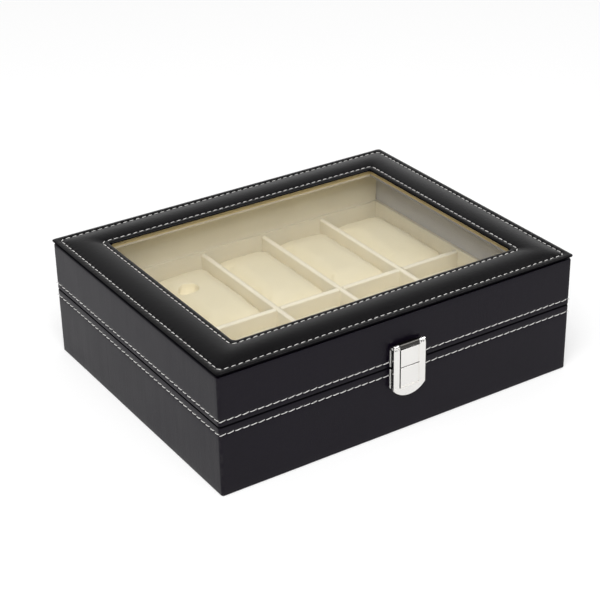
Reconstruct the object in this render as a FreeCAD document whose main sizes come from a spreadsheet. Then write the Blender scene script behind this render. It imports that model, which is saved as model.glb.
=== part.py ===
import FreeCAD, Part
import math
import os
import re

import Sketcher

# A watch box: a leather-covered base with ten pillow compartments, and a hinged lid
# with a glass window in a padded frame. Millimetres, +Z up. The origin is at the middle
# of the underside, +X runs to the right along the front and +Y to the hinges.

doc = FreeCAD.newDocument("WatchBox")
sheet = doc.addObject("Spreadsheet::Sheet", "Sizes")

SIZES = (
    # Box walls
    ("body_width", 247.4, "outside of the leather, left to right"),
    ("body_depth", 199.2, "outside of the leather, front to back"),
    ("base_height", 44.4, "rim of the base above the table"),
    ("seam_gap", 0.4, "between the rims of base and lid"),
    ("lid_height", 30.8, "lid wall, rim to top edge"),
    ("leather_skin", 0.8, "thickness of the leather"),
    ("corner_radius", 1.6, "upright corners of the leather"),
    ("edge_radius", 0.7, "leather edges along rims and top"),
    ("turn_in", 12.0, "leather glued under the bottom"),
    ("wall_board", 5.6, "wall boards"),
    ("felt_sheet", 0.6, "felt under the base"),
    ("felt_inset", 3.0, "felt edge inside the leather face"),
    ("bottom_board", 3.0, "bottom board"),
    # Lining and compartments
    ("floor_card", 0.8, "lining card on the bottom"),
    ("base_card", 2.8, "lining boards of the base"),
    ("base_card_rise", 0.2, "lining of the base above its rim"),
    ("lid_card", 1.0, "lining cards of the lid"),
    ("lid_card_gap", 0.4, "lid lining above the rim of the lid"),
    ("tape_width", 4.0, "cloth tape along the back of the lid"),
    ("tape_sheet", 0.5, "thickness of the cloth tape"),
    ("divider", 3.5, "thickness of the dividers"),
    ("divider_drop", 1.0, "crest of the dividers below the rim of the base"),
    ("divider_crown", 1.0, "rise of their rounded top"),
    ("divider_play", 0.1, "each side of a halving slot and at each end"),
    ("pillow_play", 0.7, "round a pillow in its compartment"),
    ("pillow_seat", 0.3, "under a pillow"),
    ("pillow_height", 34.0, "pillow, seat to crest"),
    ("pillow_round", 13.0, "radius of its four long corners"),
    ("pillow_crown", 1.2, "rise of its top"),
    ("pillow_draw", 2.4, "how far its sides draw in"),
    # Lid top
    ("cover_overhang", 0.8, "cover past the wall"),
    ("frame_board", 2.0, "top board of the cover"),
    ("frame_board_inset", 2.7, "its edge inside the wall face"),
    ("window_ply", 2.4, "ply ring under the top board"),
    ("frame_width", 25.4, "cover edge to the window in both boards"),
    ("glass", 2.5, "thickness of the pane"),
    ("glass_play", 0.4, "round the pane"),
    ("lip_skin", 0.6, "leather turned down into the window"),
    ("lip_drop", 0.7, "how far it is turned down"),
    ("rim_drop", 0.8, "leather rim below the top of its board"),
    ("rim_rise", 0.6, "leather rim above the top of its board"),
    ("outer_seam", 4.2, "outer stitch row from the cover edge"),
    ("inner_seam", 2.9, "inner stitch row from the leather lip"),
    ("seam_rise", 0.9, "leather over the board at the inner stitch row"),
    ("seam_sink", 0.25, "depth of the stitch rows"),
    ("seam_half", 0.5, "half width of a stitch row"),
    ("pad_rise", 2.0, "crown of the padding between the stitch rows"),
    ("pad_play", 0.1, "between foam and leather"),
    # Hinges
    ("hinge_inset", 43.7, "middle of a hinge from the end of the box"),
    ("hinge_width", 26.0, "leaf along the seam"),
    ("leaf_plate", 1.0, "leaf thickness"),
    ("hinge_reach", 13.0, "leaf above or below the axis"),
    ("knuckle_radius", 2.0, "outside of the hinge knuckles"),
    ("knuckle_clear", 0.4, "knuckles behind the leather"),
    ("knuckle_gap", 0.3, "between knuckles"),
    ("pin_radius", 1.0, "hinge pin"),
    ("pin_play", 0.05, "round hinge and latch pins"),
    ("screw_radius", 0.9, "screw shank"),
    ("screw_length", 5.0, "screw under its leaf"),
    ("screw_head", 1.8, "radius of a screw head"),
    ("screw_spread", 8.0, "screws from the middle of a hinge"),
    ("screw_level", 8.5, "screws above or below the axis"),
    ("screw_play", 0.05, "round a screw or rivet"),
    # Latch
    ("latch_width", 22.4, "hasp, left to right"),
    ("latch_plate", 0.8, "thickness of the back plates"),
    ("plate_inset", 0.4, "back plates inside the hasp's sides"),
    ("plate_margin", 0.8, "back plates clear of the seam"),
    ("latch_axis_rise", 13.6, "hasp axis above the seam"),
    ("latch_axis_out", 2.2, "hasp axis in front of the back plate"),
    ("latch_knuckle", 1.6, "radius of the latch knuckles"),
    ("latch_pin", 0.8, "radius of the latch pin"),
    ("latch_web", 1.2, "web that carries the middle knuckle"),
    ("hasp", 1.4, "thickness of the hasp"),
    ("hasp_flange", 4.3, "raised side of the hasp"),
    ("hasp_drop", 27.0, "straight side of the hasp below its axis"),
    ("hasp_bow", 5.4, "rounded lower end of the hasp"),
    ("hasp_notch", 2.0, "top of its panel below the axis"),
    ("panel_sink", 0.6, "panel below the raised sides"),
    ("panel_end", 0.6, "foot of the panel above the end of the sides"),
    ("scribe", 0.6, "width of the line across the panel"),
    ("base_plate_drop", 12.6, "height of the lower back plate"),
    ("stud_length", 10.0, "catch on the lower plate, left to right"),
    ("stud_height", 3.0, "catch, top to bottom"),
    ("stud_drop", 6.6, "middle of the catch below the seam"),
    ("stud_out", 1.7, "catch in front of its plate"),
    ("spring_leaf", 0.3, "snap spring inside the hasp"),
    ("spring_width", 8.0, "snap spring, left to right"),
    ("spring_height", 9.0, "snap spring, top to bottom"),
    ("rivet_radius", 0.9, "rivets of the latch plates"),
    ("rivet_head", 1.5, "radius of a rivet head"),
    ("rivet_crown", 0.4, "height of a rivet head"),
    ("rivet_length", 4.0, "rivet behind its plate"),
    ("rivet_spread", 7.6, "rivets from the middle"),
    ("rivet_level", 4.6, "rivets from the seam"),
)
for row, (alias, size, note) in enumerate(SIZES, start=1):
    sheet.set(f"A{row}", alias)
    sheet.set(f"B{row}", str(size))
    sheet.set(f"C{row}", note)
    sheet.setAlias(f"B{row}", alias)
doc.recompute()

NAMES = {alias for alias, size, note in SIZES}
COLUMNS = 5
pieces = []

# Places worked out from the sizes, as formulas on the sheet
FACE_X = "body_width / 2"
FACE_Y = "body_depth / 2"
BOARD_X = f"({FACE_X} - leather_skin)"
BOARD_Y = f"({FACE_Y} - leather_skin)"
CARD_X = f"({BOARD_X} - wall_board)"
CARD_Y = f"({BOARD_Y} - wall_board)"
COVER_X = f"({FACE_X} + cover_overhang)"
COVER_Y = f"({FACE_Y} + cover_overhang)"
CELL_X = f"({CARD_X} - base_card)"
CELL_Y = f"({CARD_Y} - base_card)"
LID_X = f"({CARD_X} - lid_card)"
SEAM = "(base_height + seam_gap / 2)"
LID_RIM = "(base_height + seam_gap)"
LID_TOP = f"({LID_RIM} + lid_height)"
WALL_FOOT = "(felt_sheet + leather_skin)"
FLOOR = f"({WALL_FOOT} + bottom_board)"
CELL_FLOOR = f"({FLOOR} + floor_card)"
BOARD_TOP = f"({LID_TOP} + frame_board)"
GLASS_TOP = f"({LID_TOP} - window_ply)"
GLASS_FOOT = f"({GLASS_TOP} - glass)"
LID_CARD_FOOT = f"({LID_RIM} + lid_card_gap)"
HINGE_Y = f"({FACE_Y} + knuckle_clear + knuckle_radius)"
PLATE_Y = f"({FACE_Y} + latch_plate)"
LATCH_Y = f"({PLATE_Y} + latch_axis_out)"
LATCH_Z = f"({SEAM} + latch_axis_rise)"
HASP_FACE = f"({LATCH_Y} + latch_knuckle)"
HASP_BACK = f"({HASP_FACE} - hasp)"
PANEL_X = "(latch_width / 2 - hasp_flange)"
CELL_WIDTH = f"((2 * {CELL_X} + divider) / {COLUMNS} - divider)"
PITCH = f"({CELL_WIDTH} + divider)"
DIVIDER_TOP = "(base_height - divider_drop)"
HINGE_X = f"({FACE_X} - hinge_inset)"
SCREW_PLACES = [f"{side} * {HINGE_X} + {end} * screw_spread" for side in (-1, 1) for end in (-1, 1)]
RIVET_PLACES = ("-rivet_spread", "rivet_spread")


def formula(text):
    """A formula in plain size names, made to read the sheet."""
    def read(word):
        return f"Sizes.{word[0]}" if word[0] in NAMES else word[0]

    return re.sub(r"[a-z][a-z_]*", read, text)


def value(text):
    return float(sheet.evalExpression(formula(text)))


def keep(piece):
    """Count an object as a finished piece, written under its label."""
    pieces.append(piece)
    return piece


def box(label, x, y, z):
    """A block between a low and a high formula on each axis."""
    block = doc.addObject("Part::Box", label)
    for size, axis, (low, high) in zip(("Length", "Width", "Height"), "xyz", (x, y, z)):
        block.setExpression(size, formula(f"({high}) - ({low})"))
        block.setExpression(f"Placement.Base.{axis}", formula(low))
    return block


def span(half):
    return f"-({half})", half


def place(solid, x, y, z):
    for axis, text in zip("xyz", (x, y, z)):
        solid.setExpression(f"Placement.Base.{axis}", formula(text))
    return solid


def turned(kind, label, direction):
    """A cylinder or cone that points along X or along plus or minus Y."""
    solid = doc.addObject(kind, label)
    aim = {"x": (1, 0, 0), "+y": (0, 1, 0), "-y": (0, -1, 0)}[direction]
    turn = FreeCAD.Rotation(FreeCAD.Vector(0, 0, 1), FreeCAD.Vector(*aim))
    solid.Placement = FreeCAD.Placement(FreeCAD.Vector(), turn)
    return solid


def rod(label, direction, radius, length, x, y, z):
    """A cylinder from a start point along one direction."""
    solid = turned("Part::Cylinder", label, direction)
    solid.setExpression("Radius", formula(radius))
    solid.setExpression("Height", formula(length))
    return place(solid, x, y, z)


def taper(label, direction, first, last, length, x, y, z):
    """A cone from a start point along one direction."""
    solid = turned("Part::Cone", label, direction)
    solid.setExpression("Radius1", formula(first))
    solid.setExpression("Radius2", formula(last))
    solid.setExpression("Height", formula(length))
    return place(solid, x, y, z)


def joined(label, solids):
    whole = doc.addObject("Part::MultiFuse", label)
    whole.Shapes = solids
    whole.Refine = True
    return whole


def group(label, solids):
    """Separate solids that share one node."""
    several = doc.addObject("Part::Compound", label)
    several.Links = solids
    return several


def cut(label, base, tool):
    rest = doc.addObject("Part::Cut", label)
    rest.Base = base
    rest.Tool = tool
    return rest


def sketch(body, name, plane, offset):
    """A sketch on one of the body's own origin planes, moved along the plane's normal."""
    drawing = body.newObject("Sketcher::SketchObject", name)
    support = next(item for item in body.Origin.OriginFeatures if item.Role == plane)
    drawing.AttachmentSupport = (support, "")
    drawing.MapMode = "FlatFace"
    drawing.setExpression("AttachmentOffset.Base.z", formula(offset))
    return drawing


def bind(drawing, kind, points, text):
    """Hold a size of a sketch to a formula."""
    rule = drawing.addConstraint(Sketcher.Constraint(kind, *points, value(text)))
    drawing.setExpression(f"Constraints[{rule}]", formula(text))


def outline(drawing, corners):
    """Draw a closed outline, anticlockwise. A corner is (x, y) or (x, y, bow): the stretch
    from there to the next corner is straight, or an arc that bows outwards by that much."""
    points = [FreeCAD.Vector(value(corner[0]), value(corner[1]), 0) for corner in corners]
    first = drawing.GeometryCount
    ends = []
    for index, corner in enumerate(corners):
        here = points[index]
        there = points[(index + 1) % len(points)]
        edge = first + index
        if len(corner) == 2:
            drawing.addGeometry(Part.LineSegment(here, there), False)
            ends.append((1, 2))
            continue
        chord = there - here
        bow = value(corner[2])
        outward = FreeCAD.Vector(chord.y, -chord.x, 0).normalize()
        drawing.addGeometry(Part.Arc(here, (here + there) / 2 + outward * bow, there), False)
        start = drawing.getPoint(edge, 1)
        forward = start.distanceToPoint(here) < start.distanceToPoint(there)
        ends.append((1, 2) if forward else (2, 1))
        after = corners[(index + 1) % len(corners)]
        spread = " + ".join(f"(({after[axis]}) - ({corner[axis]}))^2" for axis in (0, 1))
        radius = f"({spread}) / (8 * abs({corner[2]})) + abs({corner[2]}) / 2"
        bind(drawing, "Radius", (edge,), radius)
    for index, corner in enumerate(corners):
        edge = first + index
        after = (index + 1) % len(corners)
        meeting = (edge, ends[index][1], first + after, ends[after][0])
        drawing.addConstraint(Sketcher.Constraint("Coincident", *meeting))
        bind(drawing, "DistanceX", (-1, 1, edge, ends[index][0]), corner[0])
        bind(drawing, "DistanceY", (-1, 1, edge, ends[index][0]), corner[1])
    return drawing


def circle(drawing, x, y, radius):
    """Draw a whole circle about a point."""
    middle = FreeCAD.Vector(value(x), value(y), 0)
    ring = drawing.addGeometry(Part.Circle(middle, FreeCAD.Vector(0, 0, 1), value(radius)), False)
    bind(drawing, "DistanceX", (-1, 1, ring, 3), x)
    bind(drawing, "DistanceY", (-1, 1, ring, 3), y)
    bind(drawing, "Radius", (ring,), radius)
    return drawing


def rectangle(drawing, half_x, half_y):
    return outline(drawing, [(f"-({half_x})", f"-({half_y})"), (half_x, f"-({half_y})"),
                             (half_x, half_y), (f"-({half_x})", half_y)])


def pad(body, drawing, length, reverse=False):
    feature = body.newObject("PartDesign::Pad", f"{drawing.Name}_pad")
    feature.Profile = drawing
    feature.setExpression("Length", formula(length))
    feature.Reversed = reverse
    doc.recompute()
    return feature


def pocket(body, drawing, depth, reverse=False):
    """Cut into the body, and make sure that the cut has taken something away."""
    before = body.Shape.Volume
    feature = body.newObject("PartDesign::Pocket", f"{drawing.Name}_pocket")
    feature.Profile = drawing
    feature.setExpression("Length", formula(depth))
    feature.Reversed = reverse
    doc.recompute()
    if not feature.Shape.Volume < before:
        raise RuntimeError(f"{feature.Name} cuts nothing")
    return feature


def soften(body, name, feature, radius, chosen):
    """Round the edges of a feature that a test picks."""
    fillet = body.newObject("PartDesign::Fillet", name)
    edges = enumerate(feature.Shape.Edges, start=1)
    fillet.Base = (feature, [f"Edge{number}" for number, edge in edges if chosen(edge)])
    fillet.setExpression("Radius", formula(radius))
    doc.recompute()
    return fillet


def at_height(*levels):
    """A test for edges that lie flat at one of some heights."""
    heights = [value(level) for level in levels]

    def test(edge):
        bounds = edge.BoundBox
        return bounds.ZLength < 0.001 and min(abs(bounds.ZMin - height) for height in heights) < 0.001

    return test


def upright(edge):
    return edge.BoundBox.XLength < 0.001 and edge.BoundBox.YLength < 0.001


def leather_sleeve(label, foot, top, fold, holes):
    """Leather round four walls, folded over their upper and lower edges and, at the foot,
    on past the walls."""
    body = doc.addObject("PartDesign::Body", f"{label}_hide")
    block = pad(body, rectangle(sketch(body, f"{label}_outside", "XY_Plane", foot), FACE_X, FACE_Y),
                f"({top}) - ({foot})")
    corners = soften(body, f"{label}_corners", block, "corner_radius", upright)
    soften(body, f"{label}_edges", corners, "edge_radius", at_height(foot, top))
    above_fold = f"({foot}) + leather_skin"
    well = rectangle(sketch(body, f"{label}_well", "XY_Plane", above_fold), CARD_X, CARD_Y)
    pocket(body, well, f"({top}) - ({above_fold})", reverse=True)
    mouth = sketch(body, f"{label}_mouth", "XY_Plane", foot)
    rectangle(mouth, f"{CARD_X} - ({fold})", f"{CARD_Y} - ({fold})")
    pocket(body, mouth, "leather_skin", reverse=True)
    nest = rectangle(sketch(body, f"{label}_nest", "XY_Plane", above_fold), BOARD_X, BOARD_Y)
    pocket(body, nest, f"({top}) - ({above_fold}) - leather_skin", reverse=True)
    return keep(cut(label, body, holes))


def four_walls(prefix, suffix, outer_x, outer_y, thickness, feet, tops):
    """Front, back, left and right boards of one thickness, the long ones past the short ones."""
    inner_x = f"({outer_x} - {thickness})"
    inner_y = f"({outer_y} - {thickness})"
    spans = {
        "front": (span(outer_x), (f"-{outer_y}", f"-{inner_y}")),
        "back": (span(outer_x), (inner_y, outer_y)),
        "left": ((f"-{outer_x}", f"-{inner_x}"), span(inner_y)),
        "right": ((inner_x, outer_x), span(inner_y)),
    }
    return {side: box(f"{prefix}_{side}_{suffix}", x, y, (feet[side], tops))
            for side, (x, y) in spans.items()}


def hinge_holes(label, direction):
    """Pilot holes for the screws of both hinges on the base (-1) or on the lid (1)."""
    level = f"{SEAM} + {direction} * screw_level"
    return [rod(f"{label}_pilot_{number}", "-y", "screw_radius + screw_play", "screw_length + screw_play",
                x, FACE_Y, level) for number, x in enumerate(SCREW_PLACES, start=1)]


def latch_holes(label, direction):
    """Holes for the rivets of the latch plate on the base (-1) or on the lid (1)."""
    level = f"{SEAM} + {direction} * rivet_level"
    return [rod(f"{label}_hole_{number}", "+y", "rivet_radius + screw_play", "rivet_length + screw_play",
                x, f"-{FACE_Y}", level) for number, x in enumerate(RIVET_PLACES, start=1)]


# Base: felt, boards and leather
keep(box("bottom_felt", span(f"({FACE_X} - felt_inset)"), span(f"({FACE_Y} - felt_inset)"),
         ("0", "felt_sheet")))
keep(box("base_bottom_board", span(CARD_X), span(CARD_Y), (WALL_FOOT, FLOOR)))
sides = ("front", "back", "left", "right")
base_walls = four_walls("base", "board", BOARD_X, BOARD_Y, "wall_board", dict.fromkeys(sides, WALL_FOOT),
                        "base_height - leather_skin")
base_latch_holes = group("base_latch_holes", latch_holes("base_latch", -1))
base_hinge_holes = group("base_hinge_holes", hinge_holes("base_hinge", -1))
keep(cut("base_front_wall", base_walls["front"], base_latch_holes))
keep(cut("base_back_wall", base_walls["back"], base_hinge_holes))
for side in ("left", "right"):
    base_walls[side].Label = f"base_{side}_wall"
    keep(base_walls[side])
leather_sleeve("base_leather", "felt_sheet", "base_height", "turn_in - wall_board - leather_skin",
               group("base_leather_holes", [base_latch_holes, base_hinge_holes]))

# Base: lining and dividers
keep(box("base_liner_floor", span(CARD_X), span(CARD_Y), (FLOOR, CELL_FLOOR)))
base_cards = four_walls("base_liner", "card", CARD_X, CARD_Y, "base_card", dict.fromkeys(sides, CELL_FLOOR),
                        "base_height + base_card_rise")
for side, card in base_cards.items():
    card.Label = f"base_liner_{side}"
    keep(card)


def divider(label, plane, half_length, slots, slot_foot, slot_top):
    """A padded card on edge with a rounded top, slotted where it crosses the others."""
    body = doc.addObject("PartDesign::Body", label)
    shoulder = f"{DIVIDER_TOP} - divider_crown"
    section = sketch(body, f"{label}_section", plane, f"-({half_length})")
    outline(section, [("-divider / 2", CELL_FLOOR), ("divider / 2", CELL_FLOOR),
                      ("divider / 2", shoulder, "divider_crown"), ("-divider / 2", shoulder)])
    pad(body, section, f"2 * ({half_length})")
    across = {"XZ_Plane": "YZ_Plane", "YZ_Plane": "XZ_Plane"}[plane]
    for number, middle in enumerate(slots, start=1):
        slot = sketch(body, f"{label}_slot_{number}", across, "-divider")
        low = f"{middle} - divider / 2 - divider_play"
        high = f"{middle} + divider / 2 + divider_play"
        outline(slot, [(low, slot_foot), (high, slot_foot), (high, slot_top), (low, slot_top)])
        pocket(body, slot, "2 * divider", reverse=True)
    return body


HALVING = f"({CELL_FLOOR} + {DIVIDER_TOP}) / 2"
cross_places = [f"({number} - {COLUMNS / 2}) * {PITCH}" for number in range(1, COLUMNS)]
keep(divider("long_divider", "YZ_Plane", f"{CELL_X} - divider_play", cross_places,
             f"{HALVING} - divider_play", f"{DIVIDER_TOP} + divider"))
for number, middle in enumerate(cross_places, start=1):
    crossing = divider(f"cross_divider_{number}", "XZ_Plane", f"{CELL_Y} - divider_play", ["0"],
                       f"{CELL_FLOOR} - divider", f"{HALVING} + divider_play")
    crossing.setExpression("Placement.Base.x", formula(middle))
    keep(crossing)


def pillow_section(x, inset):
    """One closed outline of a pillow, seen from the side: a flat seat, rounded long corners
    and a crowned top. The inset draws the whole outline in."""
    length = value(f"{CELL_Y} - divider / 2 - 2 * pillow_play") / 2 - inset
    foot = inset
    crown = value("pillow_crown")
    brow = value("pillow_height") - crown - inset
    radius = value("pillow_round") - inset / 2
    bend = radius * (1 - math.sqrt(0.5))

    def at(y, z):
        return FreeCAD.Vector(x, y, z)

    def corner(side, level, turn):
        """A quarter round between an end and the seat (-1) or the top (1)."""
        end = at(side * length, level - turn * radius)
        middle = at(side * (length - bend), level - turn * bend)
        flat = at(side * (length - radius), level)
        return end, middle, flat

    right_low, right_high = corner(1, foot, -1), corner(1, brow, 1)
    left_high, left_low = corner(-1, brow, 1), corner(-1, foot, -1)
    edges = [
        Part.LineSegment(left_low[2], right_low[2]),
        Part.Arc(right_low[2], right_low[1], right_low[0]),
        Part.LineSegment(right_low[0], right_high[0]),
        Part.Arc(*right_high),
        Part.Arc(right_high[2], at(0, brow + crown), left_high[2]),
        Part.Arc(left_high[2], left_high[1], left_high[0]),
        Part.LineSegment(left_high[0], left_low[0]),
        Part.Arc(*left_low),
    ]
    return Part.Wire([edge.toShape() for edge in edges])


def pillow_solid():
    """Lofted from side to side, drawn in more and more towards its soft sides."""
    half = value(f"{CELL_WIDTH} / 2 - pillow_play")
    draw = value("pillow_draw")
    steps = (-1, -0.75, -0.4, 0, 0.4, 0.75, 1)
    return Part.makeLoft([pillow_section(half * step, draw * step ** 4) for step in steps], True, False)


# Ten pillows, five in each row, numbered from the left
pillow_shape = pillow_solid()
for row, side in (("back", 1), ("front", -1)):
    for number in range(1, COLUMNS + 1):
        pillow = doc.addObject("Part::Feature", f"pillow_{row}_{number}")
        pillow.Shape = pillow_shape
        pillow.Placement = FreeCAD.Placement(FreeCAD.Vector(
            value(f"({number} - {(COLUMNS + 1) / 2}) * {PITCH}"),
            side * value(f"({CELL_Y} + divider / 2) / 2"),
            value(f"{CELL_FLOOR} + pillow_seat")), FreeCAD.Rotation())
        keep(pillow)

# Lid: boards, leather and lining
lid_walls = four_walls("lid", "board", BOARD_X, BOARD_Y, "wall_board",
                       dict.fromkeys(sides, f"{LID_RIM} + leather_skin"), f"{LID_TOP} - leather_skin")
lid_latch_holes = group("lid_latch_holes", latch_holes("lid_latch", 1))
lid_hinge_holes = group("lid_hinge_holes", hinge_holes("lid_hinge", 1))
keep(cut("lid_front_wall", lid_walls["front"], lid_latch_holes))
keep(cut("lid_back_wall", lid_walls["back"], lid_hinge_holes))
for side in ("left", "right"):
    lid_walls[side].Label = f"lid_{side}_wall"
    keep(lid_walls[side])
leather_sleeve("lid_leather", LID_RIM, LID_TOP, "0",
               group("lid_leather_holes", [lid_latch_holes, lid_hinge_holes]))
lid_card_feet = dict.fromkeys(sides, LID_CARD_FOOT)
lid_card_feet["back"] = f"{LID_CARD_FOOT} + tape_width"
lid_cards = four_walls("lid_liner", "card", CARD_X, CARD_Y, "lid_card", lid_card_feet, GLASS_FOOT)
for side, card in lid_cards.items():
    card.Label = f"lid_liner_{side}"
    keep(card)
keep(box("lid_back_tape", span(LID_X), (f"{CARD_Y} - tape_sheet", CARD_Y),
         (LID_CARD_FOOT, f"{LID_CARD_FOOT} + tape_width")))

# Lid: window and padded cover
keep(box("glass_pane", span(f"({CARD_X} - glass_play)"), span(f"({CARD_Y} - glass_play)"),
         (GLASS_FOOT, GLASS_TOP)))


def window_ring(label, half_x, half_y, foot, top):
    """A flat board with the window cut out of it."""
    sheet_board = box(f"{label}_sheet", span(half_x), span(half_y), (foot, top))
    window = box(f"{label}_window", span(f"({COVER_X} - frame_width)"), span(f"({COVER_Y} - frame_width)"),
                 (foot, top))
    return keep(cut(label, sheet_board, window))


window_ring("window_frame", CARD_X, CARD_Y, GLASS_TOP, LID_TOP)
FRAME_X = f"({FACE_X} - frame_board_inset)"
FRAME_Y = f"({FACE_Y} - frame_board_inset)"
window_ring("top_frame_board", FRAME_X, FRAME_Y, LID_TOP, BOARD_TOP)


def cover_ring(label, corners):
    """A section carried round the cover with mitred corners. Its outline is given by the
    distance inside the cover's edge and the height."""
    body = doc.addObject("PartDesign::Body", label)
    path = sketch(body, f"{label}_path", "XY_Plane", "0")
    outline(path, [("0", f"-{COVER_Y}"), (COVER_X, f"-{COVER_Y}"), (COVER_X, COVER_Y),
                   (f"-{COVER_X}", COVER_Y), (f"-{COVER_X}", f"-{COVER_Y}")])
    section = sketch(body, f"{label}_section", "YZ_Plane", "0")
    outline(section, [(f"{corner[0]} - {COVER_Y}", *corner[1:]) for corner in corners])
    doc.recompute()
    pipe = body.newObject("PartDesign::AdditivePipe", f"{label}_pipe")
    pipe.Profile = section
    pipe.Spine = (path, [f"Edge{number}" for number in range(1, 6)])
    pipe.Transition = "Right corner"
    doc.recompute()
    return keep(body)


# Insets from the cover's edge
BOARD_EDGE = "(cover_overhang + frame_board_inset)"
LIP_EDGE = "(frame_width + lip_skin)"
INNER_ROW = f"({LIP_EDGE} - inner_seam)"
PAD_OUT = "(outer_seam + seam_half)"
PAD_IN = f"({INNER_ROW} - seam_half)"
RIM_TOP = f"({BOARD_TOP} + rim_rise)"
ROW_TOP = f"({BOARD_TOP} + seam_rise)"
FOAM_OUT = f"({PAD_OUT} + leather_skin)"
FOAM_IN = f"({PAD_IN} - leather_skin)"

cover_ring("top_frame_leather", [
    ("0", f"{BOARD_TOP} - rim_drop"),
    (BOARD_EDGE, f"{BOARD_TOP} - rim_drop"),
    (BOARD_EDGE, BOARD_TOP),
    (FOAM_OUT, BOARD_TOP, "-pad_rise + leather_skin"),
    (FOAM_IN, BOARD_TOP),
    ("frame_width", BOARD_TOP),
    ("frame_width", f"{BOARD_TOP} - lip_drop"),
    (LIP_EDGE, f"{BOARD_TOP} - lip_drop"),
    (LIP_EDGE, f"{BOARD_TOP} + seam_rise / 3", "seam_rise / 5"),
    (f"{INNER_ROW} + seam_half", ROW_TOP, "-seam_sink"),
    (PAD_IN, ROW_TOP, "pad_rise - seam_rise / 2"),
    (PAD_OUT, RIM_TOP, "-seam_sink"),
    ("outer_seam - seam_half", RIM_TOP),
    ("rim_rise", RIM_TOP, "rim_rise / 4"),
    ("0", BOARD_TOP),
])
cover_ring("top_frame_foam", [
    (f"{FOAM_OUT} + pad_play", BOARD_TOP),
    (f"{FOAM_IN} - pad_play", BOARD_TOP, "pad_rise - leather_skin - pad_play"),
])


# Hinges: two leaves, a pin and four screws each
def hinge_leaf(label, middle, direction, knuckles):
    """A leaf with its share of the three knuckles, below (-1) or above (1) the axis."""
    third = "(hinge_width / 3)"
    reach = sorted((0, direction))
    plate = box(f"{label}_plate", (f"{middle} - hinge_width / 2", f"{middle} + hinge_width / 2"),
                (FACE_Y, f"{FACE_Y} + leaf_plate"),
                (f"{SEAM} + {reach[0]} * hinge_reach", f"{SEAM} + {reach[1]} * hinge_reach"))
    barrels = []
    gaps = []
    for number in range(3):
        low = f"{middle} - hinge_width / 2 + {number} * {third}"
        if number in knuckles:
            barrels.append(rod(f"{label}_knuckle_{number}", "x", "knuckle_radius", f"{third} - knuckle_gap",
                               f"{low} + knuckle_gap / 2", HINGE_Y, SEAM))
        else:
            width = (f"{low} - knuckle_gap / 2", f"{low} + {third} + knuckle_gap / 2")
            height = (f"{SEAM} - knuckle_radius - knuckle_gap", f"{SEAM} + knuckle_radius + knuckle_gap")
            gaps.append(box(f"{label}_gap_{number}", width, (FACE_Y, f"{FACE_Y} + leaf_plate"), height))
    bore = rod(f"{label}_bore", "x", "pin_radius + pin_play", "hinge_width", f"{middle} - hinge_width / 2",
               HINGE_Y, SEAM)
    holes = []
    for end in (-1, 1):
        holes.append(taper(f"{label}_sink_{end + 1}", "-y", "screw_head + screw_play",
                           "screw_radius + screw_play", "leaf_plate", f"{middle} + {end} * screw_spread",
                           f"{FACE_Y} + leaf_plate", f"{SEAM} + {direction} * screw_level"))
    blank = joined(f"{label}_blank", [plate] + barrels)
    return keep(cut(label, blank, joined(f"{label}_cuts", gaps + [bore] + holes)))


def hinge_screws(label, direction):
    """Four countersunk screws through the leaves of the base or of the lid."""
    screws = []
    for number, x in enumerate(SCREW_PLACES, start=1):
        level = f"{SEAM} + {direction} * screw_level"
        head = taper(f"{label}_head_{number}", "-y", "screw_head", "screw_radius", "leaf_plate",
                     x, f"{FACE_Y} + leaf_plate", level)
        shank = rod(f"{label}_shank_{number}", "-y", "screw_radius", "screw_length", x, FACE_Y, level)
        screws.append(joined(f"{label}_screw_{number}", [head, shank]))
    return keep(group(label, screws))


hinge_sides = (("left", f"-{HINGE_X}"), ("right", HINGE_X))
for side, middle in hinge_sides:
    hinge_leaf(f"hinge_base_leaf_{side}", middle, -1, (0, 2))
    hinge_leaf(f"hinge_lid_leaf_{side}", middle, 1, (1,))
keep(group("hinge_pins", [rod(f"hinge_pin_{side}", "x", "pin_radius", "hinge_width",
                              f"{middle} - hinge_width / 2", HINGE_Y, SEAM) for side, middle in hinge_sides]))
hinge_screws("hinge_base_screws", -1)
hinge_screws("hinge_lid_screws", 1)


# Latch: a plate on the base with its catch, a plate on the lid, and the hasp on its pin
def rivet_pass(label, direction):
    """Holes through a latch plate for its two rivets."""
    level = f"{SEAM} + {direction} * rivet_level"
    return [rod(f"{label}_pass_{number}", "-y", "rivet_radius + screw_play", "latch_plate",
                x, f"-{FACE_Y}", level) for number, x in enumerate(RIVET_PLACES, start=1)]


def latch_rivets(label, direction):
    rivets = []
    for number, x in enumerate(RIVET_PLACES, start=1):
        where = (x, f"-{PLATE_Y}", f"{SEAM} + {direction} * rivet_level")
        shank = rod(f"{label}_shank_{number}", "+y", "rivet_radius", "latch_plate + rivet_length", *where)
        head = taper(f"{label}_head_{number}", "-y", "rivet_head", "rivet_radius", "rivet_crown", *where)
        rivets.append(joined(f"{label}_rivet_{number}", [shank, head]))
    return keep(group(label, rivets))


PLATE_X = "(latch_width / 2 - plate_inset)"
plate_y = (f"-{PLATE_Y}", f"-{FACE_Y}")
base_plate = box("latch_base_blank", span(PLATE_X), plate_y,
                 (f"{SEAM} - plate_margin - base_plate_drop", f"{SEAM} - plate_margin"))
stud = box("latch_base_stud", span("stud_length / 2"), (f"-{PLATE_Y} - stud_out", f"-{PLATE_Y}"),
           (f"{SEAM} - stud_drop - stud_height / 2", f"{SEAM} - stud_drop + stud_height / 2"))
keep(cut("latch_base_plate", joined("latch_base_body", [base_plate, stud]),
         group("latch_base_holes", rivet_pass("latch_base", -1))))
latch_rivets("latch_base_rivets", -1)

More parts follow.
